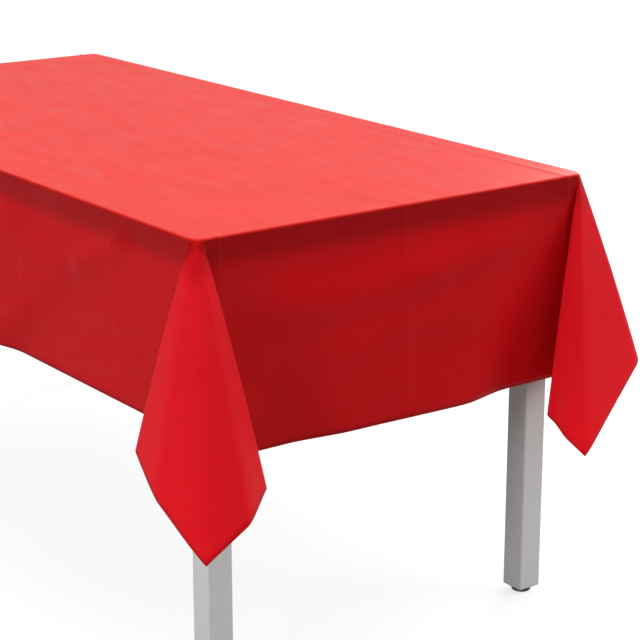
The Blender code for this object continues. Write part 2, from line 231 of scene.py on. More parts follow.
@dataclass(frozen=True)
class FilmFinish:
    """Thin coloured plastic film: satin gloss, a little light let through, fine handling marks.

    Its colour holds painted light and shade: painted light brightest in the corner flaps and bright
    on the board, painted shade on the drops, darkest in a painted band just under the board's edge.
    """

    board_edge: Pair
    # Lit and shaded copies of one film: painted light on the board, brighter painted light in the
    # corner flaps, painted shade on the drops.
    board_painted_light: Colour = (0.720, 0.008, 0.001, 1.0)
    drop_painted_shade: Colour = (0.660, 0.005, 0.010, 1.0)
    flap_painted_light: Colour = (0.990, 0.010, 0.020, 1.0)
    # Painted shade for the drops and flaps just under the board's edge.
    drop_painted_edge_shade: Colour = (0.440, 0.003, 0.006, 1.0)
    flap_painted_edge_shade: Colour = (0.680, 0.006, 0.014, 1.0)
    mottle: Colour = (0.920, 0.920, 0.920, 1.0)
    edge_blur: float = 0.005
    # How far past the board's edge the painted shade runs: full out to the first, faded out by the
    # second.
    edge_shade_depth: Pair = (0.024, 0.058)
    mottle_scale: float = 5.0
    roughness: Pair = (0.32, 0.44)
    streak_scale: float = 9.0
    streak_stretch: Place = (1.0, 3.0, 1.0)
    crinkle_scale: float = 16.0
    crinkle_depth: float = 0.0005
    grain_scale: float = 900.0
    grain_depth: float = 0.00004
    gloss: float = 0.14
    gloss_tint: Colour = (1.0, 0.90, 0.74, 1.0)
    scatter: Place = (0.0016, 0.0003, 0.0003)

    def material(self) -> bpy.types.Material:
        """Build the film's material."""
        book = NodeBook("red_film")
        flat = book.mapped(space="UV")
        split = book.node("SeparateXYZ")
        book.join(flat, split.inputs["Vector"])
        past = [book.arithmetic("SUBTRACT", book.arithmetic("ABSOLUTE", place), edge)
                for place, edge in zip(split.outputs, self.board_edge)]
        over = [book.step(distance, -self.edge_blur, self.edge_blur) for distance in past]
        # The sheet's corner squares, past the board's edge both ways, hang as the flaps and take
        # the brighter painted light.
        corner_square = book.arithmetic("MINIMUM", *over)
        # Painted shade band just past the board's edge on drops and flaps, blended into the lit and
        # shaded copies.
        clear = book.step(book.arithmetic("MAXIMUM", *past), *self.edge_shade_depth)
        near = book.blend(corner_square, self.drop_painted_edge_shade, self.flap_painted_edge_shade)
        hung = book.blend(clear, near, book.blend(corner_square, self.drop_painted_shade, self.flap_painted_light))
        body = book.blend(book.arithmetic("MAXIMUM", *over), self.board_painted_light, hung)
        cloudy = book.spread(book.noise(flat, self.mottle_scale, 3.0))
        book.join(book.blend(cloudy, body, self.mottle, "MULTIPLY"),
                  book.shader.inputs["Base Color"])
        streaks = book.noise(book.mapped(self.streak_stretch, "UV"), self.streak_scale, 4.0, 0.6)
        crinkle = book.bump(book.noise(flat, self.crinkle_scale, 2.0, 0.8), self.crinkle_depth)
        grain = book.bump(book.noise(flat, self.grain_scale, 1.0), self.grain_depth, crinkle)
        return book.finish(book.spread(streaks, *self.roughness), grain, IOR=1.50,
                           Specular_IOR_Level=self.gloss, Specular_Tint=self.gloss_tint,
                           Subsurface_Weight=1.0, Subsurface_Radius=self.scatter,
                           Subsurface_Scale=1.0)


@dataclass(frozen=True)
class LacquerFinish:
    """White sprayed lacquer with a faint orange-peel skin."""

    colour: Colour = (0.86, 0.86, 0.85, 1.0)
    shade: Colour = (0.80, 0.80, 0.79, 1.0)
    shade_scale: float = 7.0
    roughness: Pair = (0.26, 0.36)
    roughness_scale: float = 30.0
    peel_scale: float = 420.0
    peel_depth: float = 0.00006
    coat: float = 0.2
    coat_roughness: float = 0.12

    def material(self) -> bpy.types.Material:
        """Build the lacquer's material."""
        book = NodeBook("white_lacquer")
        where = book.mapped()
        book.colour(book.spread(book.noise(where, self.shade_scale)), self.colour, self.shade)
        rough = book.spread(book.noise(where, self.roughness_scale), *self.roughness)
        peel = book.bump(book.noise(where, self.peel_scale, 2.0), self.peel_depth)
        return book.finish(rough, peel, Coat_Weight=self.coat,
                           Coat_Roughness=self.coat_roughness)


@dataclass(frozen=True)
class BoardFinish:
    """Pale laminate on a wood-chip board, with a fine printed grain."""

    colour: Colour = (0.62, 0.54, 0.43, 1.0)
    streak: Colour = (0.50, 0.42, 0.32, 1.0)
    grain_stretch: Place = (1.2, 22.0, 22.0)
    grain_scale: float = 4.0
    grain_depth: float = 0.0001
    roughness: Pair = (0.42, 0.56)

    def material(self) -> bpy.types.Material:
        """Build the board's material."""
        book = NodeBook("board_laminate")
        grain = book.noise(book.mapped(self.grain_stretch), self.grain_scale, 6.0, 0.4)
        book.colour(book.spread(grain), self.colour, self.streak)
        return book.finish(book.spread(grain, *self.roughness),
                           book.bump(grain, self.grain_depth))


@dataclass(frozen=True)
class RailFinish:
    """Planed pine, its grain along the rail."""

    colour: Colour = (0.72, 0.55, 0.34, 1.0)
    streak: Colour = (0.55, 0.37, 0.19, 1.0)
    ring_stretch: Place = (6.0, 0.7, 6.0)
    ring_scale: float = 9.0
    ring_waver: float = 5.0
    fibre_stretch: Place = (160.0, 6.0, 160.0)
    fibre_scale: float = 3.0
    fibre_depth: float = 0.00025
    roughness: Pair = (0.48, 0.66)

    def material(self) -> bpy.types.Material:
        """Build the rail's material."""
        book = NodeBook("rail_pine")
        rings = book.node("TexWave", Scale=self.ring_scale, Distortion=self.ring_waver,
                          Detail=3.0, Detail_Scale=1.4)
        rings.bands_direction = "X"
        book.join(book.mapped(self.ring_stretch), rings.inputs["Vector"])
        book.colour(rings.outputs["Fac"], self.colour, self.streak)
        fibre = book.noise(book.mapped(self.fibre_stretch), self.fibre_scale, 3.0)
        return book.finish(book.spread(fibre, *self.roughness),
                           book.bump(fibre, self.fibre_depth))


@dataclass(frozen=True)
class ZincFinish:
    """Zinc-plated steel hardware, faintly mottled."""

    colour: Colour = (0.66, 0.67, 0.68, 1.0)
    shade: Colour = (0.50, 0.52, 0.55, 1.0)
    mottle_scale: float = 140.0
    roughness: Pair = (0.24, 0.42)
    roughness_scale: float = 60.0
    grain_scale: float = 900.0
    grain_depth: float = 0.00003

    def material(self) -> bpy.types.Material:
        """Build the plating's material."""
        book = NodeBook("zinc_plate")
        where = book.mapped()
        mottle = book.noise(where, self.mottle_scale, 3.0)
        book.colour(book.spread(mottle), self.colour, self.shade)
        rough = book.spread(book.noise(where, self.roughness_scale), *self.roughness)
        grain = book.bump(book.noise(where, self.grain_scale, 1.0), self.grain_depth)
        return book.finish(rough, grain, Metallic=1.0)


@dataclass(frozen=True)
class FootFinish:
    """Moulded grey plastic with a fine spark texture."""

    colour: Colour = (0.20, 0.20, 0.21, 1.0)
    shade: Colour = (0.15, 0.15, 0.16, 1.0)
    speckle_scale: float = 700.0
    speckle_depth: float = 0.00006
    roughness: Pair = (0.48, 0.62)

    def material(self) -> bpy.types.Material:
        """Build the plastic's material."""
        book = NodeBook("foot_plastic")
        speckle = book.noise(book.mapped(), self.speckle_scale, 2.0)
        book.colour(book.spread(speckle), self.colour, self.shade)
        return book.finish(book.spread(speckle, *self.roughness),
                           book.bump(speckle, self.speckle_depth))


# -------------------------------------------------------------------------------
# The table
# -------------------------------------------------------------------------------

class Finish(Enum):
    """The finishes that the table's own parts take."""

    BOARD = BoardFinish()
    LACQUER = LacquerFinish()
    RAIL = RailFinish()
    ZINC = ZincFinish()
    PLASTIC = FootFinish()


@dataclass
class TableFrame:
    """The board, its underframe and hardware: the frame's own parts with a finish each."""

    finishes: dict[str, Finish] = field(default_factory=lambda: {
        "table_top": Finish.BOARD,
        "apron_": Finish.LACQUER,
        "leg_nut_": Finish.ZINC,
        "leg_": Finish.LACQUER,
        "centre_rail": Finish.RAIL,
        "corner_plate_": Finish.ZINC,
        "hanger_bolt_": Finish.ZINC,
        "angle_bracket_": Finish.ZINC,
        "bracket_screw_": Finish.ZINC,
        "foot_bush_": Finish.ZINC,
        "levelling_foot_": Finish.PLASTIC,
    })

    def finish_of(self, name: str) -> Finish | None:
        """Find the finish whose key the node's name starts with."""
        for key, finish in self.finishes.items():
            if name.startswith(key):
                return finish
        return None

    def dress(self) -> None:
        """Give each part of the table its finish."""
        made: dict[Finish, bpy.types.Material] = {}
        for name, node in part_objects().items():
            finish = self.finish_of(name)
            if finish is None:
                continue
            if finish not in made:
                made[finish] = finish.value.material()
            node.data.materials.clear()
            node.data.materials.append(made[finish])
            LOG.info("finished %s as %s", name, finish.name.lower())


def part_objects() -> dict[str, bpy.types.Object]:
    """Map each node's name in the frame to its object."""
    return {name: bpy.data.objects[name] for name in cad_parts}


# -------------------------------------------------------------------------------
# The cloth
# -------------------------------------------------------------------------------

def smooth(value: np.ndarray) -> np.ndarray:
    """Ease from 0 to 1."""
    t = np.clip(value, 0.0, 1.0)
    return t * t * (3.0 - 2.0 * t)


def unit(vector: np.ndarray) -> np.ndarray:
    """Scale vectors to length 1."""
    return vector / np.linalg.norm(vector, axis=-1, keepdims=True)


def cut_corners(points: np.ndarray, rounds: int = 5) -> np.ndarray:
    """Round a polyline by cutting its corners again and again.

    Args:
        points: its corners.
        rounds: how many times they are cut.

    Returns:
        The points of the rounded line.
    """
    for _ in range(rounds):
        near = 0.75 * points[:-1] + 0.25 * points[1:]
        far = 0.25 * points[:-1] + 0.75 * points[1:]
        woven = np.empty((2 * len(near), points.shape[1]))
        woven[0::2], woven[1::2] = near, far
        points = np.vstack([points[:1], woven, points[-1:]])
    return points


@dataclass(frozen=True)
class CornerFold:
    """How the spare film is folded at a table corner.

    Below the corner the film is a cone: every straight line on it leaves the corner. The fold is
    drawn as the path that those lines cut on a level plane, in degrees off the vertical. The first
    number runs out past the end of the table, the second out past its side.
    """

    side_fold: Pair
    end_fold: Pair
    bows: Pair
    tucks: Pair
    turn: float
    nose_round: float
    hang: float
    valley: float = 1.6
    valley_path: tuple[Pair, ...] = ((-1.0, 0.0), (0.7, 0.0), (0.7, 1.3), (-1.0, 1.6))
    turn_lead: float = 0.9
    lead: float = 10.0
    hang_length: float = 0.9
    first_nose: Pair = (15.0, 10.0)
    nudge: float = 0.05
    longest_step: float = 4.0
    tries: int = 14

    def corners(self, nose: np.ndarray) -> np.ndarray:
        """List the path's corners.

        Args:
            nose: where the flap's outermost line is.

        Returns:
            The corners of the path, in degrees.
        """
        valley = self.valley * np.array(self.valley_path)
        into_side = valley + [self.tucks[0], 0]
        into_end = valley[:, ::-1] + [0, self.tucks[1]]
        side = self.hairpin(self.side_fold, into_side[-1], nose, self.bows[0], 1.0)
        end = self.hairpin(self.end_fold, into_end[-1], nose, self.bows[1], -1.0)
        return np.vstack([[[-self.lead, 0]], into_side, side, [nose], end[::-1],
                          into_end[::-1], [[0, -self.lead]]])

    def hairpin(self, fold: Pair, start: np.ndarray, nose: np.ndarray, bow: float,
                hand: float) -> np.ndarray:
        """Turn the path back on itself at a fold, and bow it out on its way to the nose.

        Args:
            fold: the fold's place.
            start: where the path comes from.
            nose: where it goes next.
            bow: how far it bows out.
            hand: which way it turns.

        Returns:
            The path's corners from just before the fold to just before the nose.
        """
        across = np.array([[0.0, -hand], [hand, 0.0]])
        along = unit(np.array(fold) - start)
        outer = fold + along @ across * self.turn
        bowed = 0.5 * (outer + nose) + unit(outer - nose) @ across * bow
        short = self.turn_lead * self.turn
        return np.array([fold - short * along, fold, outer, outer + short * unit(bowed - outer),
                         bowed, nose + self.nose_round * (bowed - nose)])

    def trace(self, nose: np.ndarray) -> tuple[np.ndarray, np.ndarray]:
        """Follow the path over the unit sphere.

        Args:
            nose: where the flap's outermost line is.

        Returns:
            The angle covered so far and the direction, at each point.
        """
        level = cut_corners(np.tan(np.radians(self.corners(nose))))
        lines = unit(np.column_stack([level, -np.ones(len(level))]))
        steps = np.arccos(np.clip((lines[1:] * lines[:-1]).sum(axis=1), -1.0, 1.0))
        return np.degrees(np.concatenate([[0.0], np.cumsum(steps)])), lines

    def misfit(self, nose: np.ndarray, split: float) -> np.ndarray:
        """Measure how far a nose is from using up the film.

        Args:
            nose: a guess at the nose.
            split: the flat angle from the side's corner line to the sheet's corner.

        Returns:
            The angle too much in all, and the angle too much before the nose.
        """
        covered, lines = self.trace(nose)
        aim = unit(np.array([*np.tan(np.radians(nose)), -1.0]))
        near = lines @ aim
        top = int(np.clip(np.argmax(near), 1, len(near) - 2))
        before, here, after = near[top - 1:top + 2]
        lean = 0.5 * (before - after) / (before - 2.0 * here + after)
        at_nose = covered[top] + lean * 0.5 * (covered[top + 1] - covered[top - 1])
        return np.array([covered[-1] - 90.0 - 2.0 * self.lead, at_nose - self.lead - split])

    def eased(self, lean: np.ndarray, depth: np.ndarray) -> np.ndarray:
        """Let the film lean further out near the corner than at its hem, as its weight does."""
        share = 1.0 + self.hang * (0.5 - depth / self.hang_length)
        return lean * np.stack([share, share, np.ones_like(share)], axis=-1)

    def solved(self, split: float) -> SolvedFold:
        """Place the nose so that the film's quarter turn of spare angle is all used.

        Args:
            split: the flat angle from the side's corner line to the sheet's corner.

        Returns:
            The fold with the line's direction at each flat angle round the corner.
        """
        nose = np.array(self.first_nose)
        for _ in range(self.tries):
            error = self.misfit(nose, split)
            tried = [self.misfit(nose + self.nudge * axis, split) for axis in np.eye(2)]
            slope = (np.column_stack(tried) - error[:, None]) / self.nudge
            step = -np.linalg.lstsq(slope, error, rcond=None)[0]
            nose = nose + step * min(1.0, self.longest_step / (np.abs(step).max() + TINY))
        LOG.info("corner nose at %s, misfit %s", np.round(nose, 2), np.round(error, 4))
        covered, lines = self.trace(nose)
        return SolvedFold(self, covered - self.lead, lines)


@dataclass(frozen=True)
class SolvedFold:
    """A fold whose path uses up the film exactly."""

    fold: CornerFold
    covered: np.ndarray
    rays: np.ndarray

    def directions(self, angle: np.ndarray) -> np.ndarray:
        """Look up the film's line direction at flat angles past the side's corner line."""
        return unit(np.stack([np.interp(angle, self.covered, self.rays[:, k])
                              for k in range(3)], axis=-1))


@dataclass(frozen=True)
class Ridge:
    """A soft line raised in the film, from one flat point to another."""

    start: Pair
    end: Pair
    height: float
    width: float
    fade: float = 0.03

    def lift(self, flat: np.ndarray) -> np.ndarray:
        """Work out how far the film stands up.

        Args:
            flat: flat coordinates of the film's points.

        Returns:
            The lift at each point.
        """
        start, end = np.array(self.start), np.array(self.end)
        along = end - start
        length = float(np.linalg.norm(along))
        share = ((flat - start) @ along) / length
        aside = (flat - start) @ np.array([-along[1], along[0]]) / length
        taper = smooth(share / self.fade) * smooth((length - share) / self.fade)
        return self.height * taper * np.exp(-(aside / self.width) ** 2)

    def moved(self, shift: Pair, turn: float) -> Ridge:
        """Copy the ridge, shifted and then turned half round where turn is -1."""
        start, end = (tuple(turn * (here + by) for here, by in zip(point, shift))
                      for point in (self.start, self.end))
        return replace(self, start=start, end=end)


WRINKLES = (
    Ridge((-0.20, 0.165), (-0.06, 0.172), 0.0011, 0.006),
    Ridge((-0.07, 0.172), (0.15, 0.115), 0.0009, 0.007),
    Ridge((-0.03, 0.092), (0.27, 0.106), 0.0011, 0.006),
    Ridge((0.095, 0.17), (0.083, 0.31), 0.0011, 0.005),
    Ridge((0.272, 0.10), (0.262, 0.175), 0.0014, 0.004),
    Ridge((0.427, -0.07), (0.433, 0.15), 0.0012, 0.006),
    Ridge((0.500, 0.005), (0.512, 0.035), 0.0016, 0.007),
    Ridge((0.594, -0.06), (0.588, 0.22), 0.0012, 0.008),
    Ridge((0.660, -0.02), (0.640, 0.26), 0.0010, 0.009),
    Ridge((0.555, 0.350), (0.620, 0.378), 0.0014, 0.004),
    Ridge((0.600, 0.335), (0.615, 0.360), 0.0012, 0.004),
    Ridge((-0.52, 0.05), (-0.31, 0.02), 0.0008, 0.010),
    Ridge((-0.60, -0.19), (-0.40, -0.22), 0.0009, 0.009),
    Ridge((-0.25, -0.24), (-0.05, -0.20), 0.0009, 0.009),
    Ridge((0.10, -0.26), (0.30, -0.22), 0.0008, 0.010),
    Ridge((-0.68, 0.24), (-0.47, 0.28), 0.0009, 0.008),
)
END_BULGES = (
    Ridge((0.125, -0.32), (0.118, 0.12), 0.0065, 0.042, 0.12),
    Ridge((0.115, -0.02), (0.075, 0.31), 0.0065, 0.032, 0.10),
    Ridge((0.215, -0.20), (0.165, 0.24), 0.0030, 0.028, 0.12),
)
SIDE_BULGES = (
    Ridge((0.640, -0.405), (0.430, -0.510), 0.0060, 0.022, 0.06),
    Ridge((0.330, -0.430), (-0.050, -0.520), 0.0050, 0.034, 0.12),
)


@dataclass(frozen=True)
class Swing:
    """How the drops along one axis stand clear of the table between the corners.

    They lean by a share of their depth below where it starts, and the lean dies away towards the
    corners, sooner at the hem.
    """

    lean: float
    back_off: float
    slant: float
    phase: float
    fade: float = 0.12
    wave: float = 0.25
    waves: float = 11.0
    start: float = 0.035
    ease: float = 0.08

    def outward(self, along: np.ndarray, back: np.ndarray, depth: np.ndarray) -> np.ndarray:
        """Work out how far the film stands out.

        Args:
            along: places along the edge.
            back: distances along the edge from the corner's rounding.
            depth: film lengths past the edge.

        Returns:
            The distance at each point.
        """
        held = smooth((back - self.back_off - self.slant * depth) / self.fade)
        wave = 1.0 + self.wave * np.sin(self.waves * along + self.phase)
        falls = self.lean * wave * depth * smooth((depth - self.start) / self.ease)
        return np.where((depth > 0.0) & (back > 0.0), held * falls, 0.0)


@dataclass
class Tablecloth:
    """The whole sheet, cut to its flat size and draped over the board."""

    flat: Pair = (1.372, 2.286)
    film: float = 0.0005
    edge_round: float = 0.004
    stand_off: float = 0.0019
    corner_round: float = 0.020
    weld: float = 0.00002
    mesh_step: float = 0.0125
    least_step: float = 0.55
    drop_step: float = 0.0085
    step_growth: float = 1.22
    bend_rows: int = 6
    rim_rows: int = 4
    rays: int = 84
    fine_rays: int = 1801
    turn_weight: float = 0.12
    creases_across: int = 8
    crease_rows: tuple[float, ...] = (-0.006, -0.003, 0.0, 0.003, 0.006)
    crease_room: float = 0.008
    crease_width: float = 0.0035
    long_creases: tuple[float, ...] = (0.0011, 0.0009, 0.0012)
    cross_crease: float = 0.00035
    swings: tuple[Swing, Swing] = (Swing(0.050, 0.05, 0.25, 0.0), Swing(0.060, 0.12, 1.30, 0.7))
    standing: CornerFold = CornerFold(side_fold=(-9.0, 11.2), end_fold=(15.4, -6.4),
                                      bows=(2.6, 4.4), tucks=(2.9, 3.2), turn=1.9,
                                      nose_round=0.80, hang=0.36)
    swung: CornerFold = CornerFold(side_fold=(14.8, 12.7), end_fold=(7.6, -15.2),
                                   bows=(-0.2, 1.3), tucks=(2.6, 5.8), turn=2.6,
                                   nose_round=0.45, hang=0.29)

    def __post_init__(self) -> None:
        """Read the board's size and place from the frame."""
        self.folds = {(1, -1): self.standing, (-1, 1): self.standing,
                      (1, 1): self.swung, (-1, -1): self.swung}
        low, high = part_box("table_top")
        cloth_low, cloth_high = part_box("cloth_top")
        self.half = np.array([high.x, high.y])
        self.level = 0.5 * (cloth_low.z + cloth_high.z)
        self.reach = 0.5 * np.array([self.flat[1], self.flat[0]])
        self.edge = self.half + self.stand_off
        self.bend_start = self.edge - self.edge_round
        self.swing = self.corner_round + self.stand_off
        self.centre = self.edge - self.swing
        self.drop = self.reach - self.bend_start
        self.arc = 0.5 * math.pi * self.edge_round
        spare = self.reach - self.centre
        self.split = math.degrees(math.atan2(spare[0], spare[1]))

    # -- flat layout ---------------------------------------------------------------------------

    def crease_lines(self, axis: int) -> np.ndarray:
        """List where the sheet was folded for packing, along one axis."""
        count = self.creases_across // 2
        return np.array([k * self.reach[axis] / count for k in range(1 - count, count)])

    def refined(self, stops: Iterable[float], low: float, high: float) -> np.ndarray:
        """Space lines evenly from low to high, with closer ones at each crease."""
        near, room = np.array(self.crease_rows), self.crease_room
        wanted = np.concatenate([s + near for s in stops if low + room < s < high - room])
        count = int(round((high - low) / self.mesh_step))
        plain = np.linspace(low, high, count + 1)
        gap = np.abs(plain[:, None] - wanted[None]).min(axis=1)
        far = gap > self.least_step * self.mesh_step
        far[0] = far[-1] = True
        return np.unique(np.round(np.concatenate([plain[far], wanted]), 7))

    def rows(self) -> np.ndarray:
        """Space the rows from the bend's start to the hem, as shares of the drop."""
        places = list(np.linspace(0.0, self.arc, self.bend_rows + 1))
        step = self.arc / self.bend_rows
        while places[-1] < self.drop[1]:
            step = min(step * self.step_growth, self.drop_step)
            places.append(places[-1] + step)
        shares = np.array(places) / places[-1]
        for axis in (0, 1):
            for crease in self.crease_lines(axis):
                depth = crease - self.bend_start[axis]
                if self.corner_round < depth < self.drop[axis] - self.corner_round:
                    nearest = int(np.argmin(np.abs(shares - depth / self.drop[axis])))
                    shares[nearest] = depth / self.drop[axis]
        return shares

    # -- shape ---------------------------------------------------------------------------------

    def over_edge(self, depth: np.ndarray, out: np.ndarray, down: np.ndarray,
                  arc: np.ndarray | float) -> np.ndarray:
        """Bend straight lines from level to their own direction as they pass the board's edge.

        Args:
            depth: film length past the bend's start.
            out: the level direction across the edge.
            down: the direction that each line ends in.
            arc: the film length of the bend.

        Returns:
            The place of each point, from the bend's start.
        """
        cosine = np.clip((out * down).sum(axis=-1), -1.0, 1.0)
        angle = np.arccos(cosine)
        part = np.clip(depth / arc, 0.0, 1.0)
        scale = arc / (angle * np.sin(angle))
        bent = ((np.cos((1.0 - part) * angle) - cosine)[..., None] * out
                + (1.0 - np.cos(part * angle))[..., None] * down)
        return scale[..., None] * bent + np.maximum(depth - arc, 0.0)[..., None] * down

    def skirt(self, fold: SolvedFold, axis: int, back: np.ndarray,
              depth: np.ndarray) -> np.ndarray:
        """Place points of a straight drop near one corner.

        Args:
            fold: the corner's fold.
            axis: 1 for the table's side, 0 for its end.
            back: how far along the edge each point is from the corner's rounding.
            depth: film length past the bend's start.

        Returns:
            Places in the corner's own axes: past the end, past the side, up.
        """
        from_line = np.degrees(np.arctan2(back, np.maximum(depth, TINY)))
        side = axis == 1
        angle = -from_line if side else 90.0 + from_line
        bent = fold.directions(angle)
        sine, cosine = np.sin(np.radians(from_line)), np.cos(np.radians(from_line))
        straight = np.zeros_like(bent)
        straight[..., 0 if side else 1] = -sine
        straight[..., 2] = -cosine
        within = (from_line < fold.fold.lead)[..., None]
        change = fold.fold.eased(np.where(within, bent - straight, 0.0), depth)
        out, down = np.zeros_like(bent), np.zeros_like(bent)
        out[..., axis] = 1.0
        down[..., 2] = -1.0
        start = np.zeros_like(bent)
        start[..., 1 - axis] = self.centre[1 - axis] - back
        start[..., axis] = self.bend_start[axis]
        start[..., 2] = self.level
        place = start + self.over_edge(depth, out, unit(down + change), self.arc)
        return place + (np.hypot(back, depth) - depth)[..., None] * change

    def corner_angles(self, fold: SolvedFold) -> np.ndarray:
        """Space the corner's lines, closer together where the film turns sharply."""
        fine = np.linspace(0.0, 90.0, self.fine_rays)
        rays = fold.directions(fine)
        heading = unit(np.diff(rays, axis=0))
        turned = np.degrees(np.arccos(np.clip((heading[1:] * heading[:-1]).sum(axis=1), -1, 1)))
        weight = np.diff(fine) + self.turn_weight * np.concatenate([turned[:1], turned])
        measure = np.concatenate([[0.0], np.cumsum(weight)])
        angles = np.interp(np.linspace(0.0, measure[-1], self.rays), measure, fine)
        angles[int(np.argmin(np.abs(angles - self.split)))] = self.split
        return angles

    def corner_patch(self, fold: SolvedFold) -> tuple[np.ndarray, np.ndarray]:
        """Build a corner's grid of points, in the corner's own axes, with their flat places."""
        angles = self.corner_angles(fold)
        turn = np.radians(angles)
        out = np.stack([np.sin(turn), np.cos(turn), np.zeros_like(turn)], axis=-1)
        spare = self.reach - self.centre
        hem = np.minimum(spare[1] / np.maximum(np.cos(turn), TINY),
                         spare[0] / np.maximum(np.sin(turn), TINY))
        inner = self.swing - self.edge_round
        depth = self.rows()[None, :] * (hem - inner)[:, None]
        rays = fold.directions(angles)
        shape = depth.shape + (3,)
        start = np.array([*self.centre, self.level]) + inner * out
        down = unit(fold.fold.eased(np.broadcast_to(rays[:, None], shape), depth))
        hung = start[:, None] + self.over_edge(depth, np.broadcast_to(out[:, None], shape), down,
                                               self.arc)
        rings = np.arange(self.rim_rows) / self.rim_rows
        lying = np.array([*self.centre, self.level]) + (inner * rings)[None, :, None] * out[:, None]
        radius = np.concatenate([np.broadcast_to(inner * rings, (len(turn), len(rings))),
                                 inner + depth], axis=1)
        flat = self.centre + radius[..., None] * out[:, None, :2]
        return np.concatenate([lying, hung], axis=1), flat

    def band_patch(self, axis: int, folds: tuple[SolvedFold, SolvedFold],
                   lines: np.ndarray) -> tuple[np.ndarray, np.ndarray]:
        """Build one drop's grid of points, in axes where the drop is on the positive side.

        Args:
            axis: 1 for a side of the table, 0 for an end.
            folds: the fold at the drop's low end and at its high end.
            lines: where the grid's lines cross the edge, along it.

        Returns:
            The places and the flat places.
        """
        depth = np.broadcast_to(self.rows() * self.drop[axis], (len(lines), len(self.rows())))
        along = np.broadcast_to(lines[:, None], depth.shape)
        limit = self.centre[1 - axis]
        high = self.skirt(folds[1], axis, limit - along, depth)
        low = self.skirt(folds[0], axis, limit + along, depth)
        low[..., 1 - axis] *= -1.0
        hung = np.where((along > 0.0)[..., None], high, low)
        rings = np.linspace(self.centre[axis], self.bend_start[axis], self.rim_rows + 1)[:-1]
        lying = np.empty((len(lines), len(rings), 3))
        lying[..., 1 - axis] = lines[:, None]
        lying[..., axis] = rings[None]
        lying[..., 2] = self.level
        flat = np.empty((len(lines), len(rings) + depth.shape[1], 2))
        flat[..., 1 - axis] = lines[:, None]
        flat[:, :len(rings), axis] = rings[None]
        flat[:, len(rings):, axis] = self.bend_start[axis] + depth
        return np.concatenate([lying, hung], axis=1), flat

    def patches(self) -> list[tuple[np.ndarray, np.ndarray, bool]]:
        """Build every patch of the sheet, each with its flat places and whether it is mirrored."""
        solved = {corner: fold.solved(self.split) for corner, fold in self.folds.items()}
        across = self.refined(self.crease_lines(0), -self.centre[0], self.centre[0])
        along = self.refined(self.crease_lines(1), -self.centre[1], self.centre[1])
        middle = np.stack(np.meshgrid(across, along, indexing="ij"), axis=-1)
        level = np.full(middle.shape[:2] + (1,), self.level)
        made = [(np.concatenate([middle, level], axis=-1), middle, False)]
        for sign in (-1, 1):
            place, flat = self.band_patch(1, (solved[-1, sign], solved[1, sign]), across)
            turn = np.array([1, sign])
            made.append((place * [1, sign, 1], flat * turn, sign < 0))
            place, flat = self.band_patch(0, (solved[sign, -1], solved[sign, 1]), along)
            made.append((place * [sign, 1, 1], flat * turn[::-1], sign > 0))
        for (end, side), fold in solved.items():
            place, flat = self.corner_patch(fold)
            made.append((place * [end, side, 1], flat * [end, side], end * side > 0))
        return made

    # -- marks ---------------------------------------------------------------------------------

    def ridges(self) -> list[Ridge]:
        """List the creases pressed in by packing, and the wrinkles left by spreading."""
        end, side = self.reach
        rows = np.linspace(-0.5 * side, 0.5 * side, len(self.long_creases))
        marks = [Ridge((-end, v), (end, v), height, self.crease_width)
                 for v, height in zip(rows, self.long_creases)]
        marks += [Ridge((u, -side), (u, side), self.cross_crease, self.crease_width)
                  for u in self.crease_lines(0)]
        marks += WRINKLES
        past_end = (self.edge[0], 0.0)
        for turn in (1.0, -1.0):
            marks += [bulge.moved(past_end, turn) for bulge in END_BULGES]
            marks += [bulge.moved((0.0, 0.0), turn) for bulge in SIDE_BULGES]
        return marks

    def billow(self, flat: np.ndarray) -> np.ndarray:
        """Swing the drops a little clear of the table between the corners.

        Args:
            flat: flat coordinates of the film's points.

        Returns:
            How far each point stands out.
        """
        size = np.abs(flat)
        return sum(swing.outward(flat[:, 1 - axis], self.centre[1 - axis] - size[:, 1 - axis],
                                 size[:, axis] - self.edge[axis])
                   for axis, swing in enumerate(self.swings))

    def marked(self, place: np.ndarray, flat: np.ndarray, normal: np.ndarray) -> np.ndarray:
        """Lift the film along its creases and wrinkles, and let its drops billow."""
        lift = self.billow(flat) + sum(mark.lift(flat) for mark in self.ridges())
        return place + lift[:, None] * normal

    # -- making --------------------------------------------------------------------------------

    def build(self) -> bpy.types.Object:
        """Returns:
            The cloth's object.
        """
        work = bmesh.new()
        layer = work.loops.layers.uv.new("flat")
        for place, flat, flipped in self.patches():
            self.add_grid(work, layer, place, flat, flipped)
        bmesh.ops.remove_doubles(work, verts=work.verts, dist=self.weld)
        bmesh.ops.recalc_face_normals(work, faces=work.faces)
        mesh = bpy.data.meshes.new("tablecloth")
        work.to_mesh(mesh)
        work.free()
        cloth = bpy.data.objects.new("tablecloth", mesh)
        bpy.context.collection.objects.link(cloth)
        self.press_marks(cloth)
        self.thicken(cloth)
        mesh.polygons.foreach_set("use_smooth", [True] * len(mesh.polygons))
        return cloth

    @staticmethod
    def add_grid(work: bmesh.types.BMesh, layer: bmesh.types.BMLayerItem, place: np.ndarray,
                 flat: np.ndarray, flipped: bool) -> None:
        """Add one patch to the sheet.

        Args:
            work: the mesh being made.
            layer: its map of flat coordinates.
            place: a grid of places.
            flat: the flat coordinates of each.
            flipped: whether its faces wind the other way.
        """
        verts = [[work.verts.new(p) for p in line] for line in place]
        rows, columns = place.shape[:2]
        for i in range(rows - 1):
            for j in range(columns - 1):
                ring = [(i, j), (i + 1, j), (i + 1, j + 1), (i, j + 1)]
                if flipped:
                    ring.reverse()
                face = work.faces.new([verts[a][b] for a, b in ring])
                for loop, (a, b) in zip(face.loops, ring):
                    loop[layer].uv = flat[a, b]

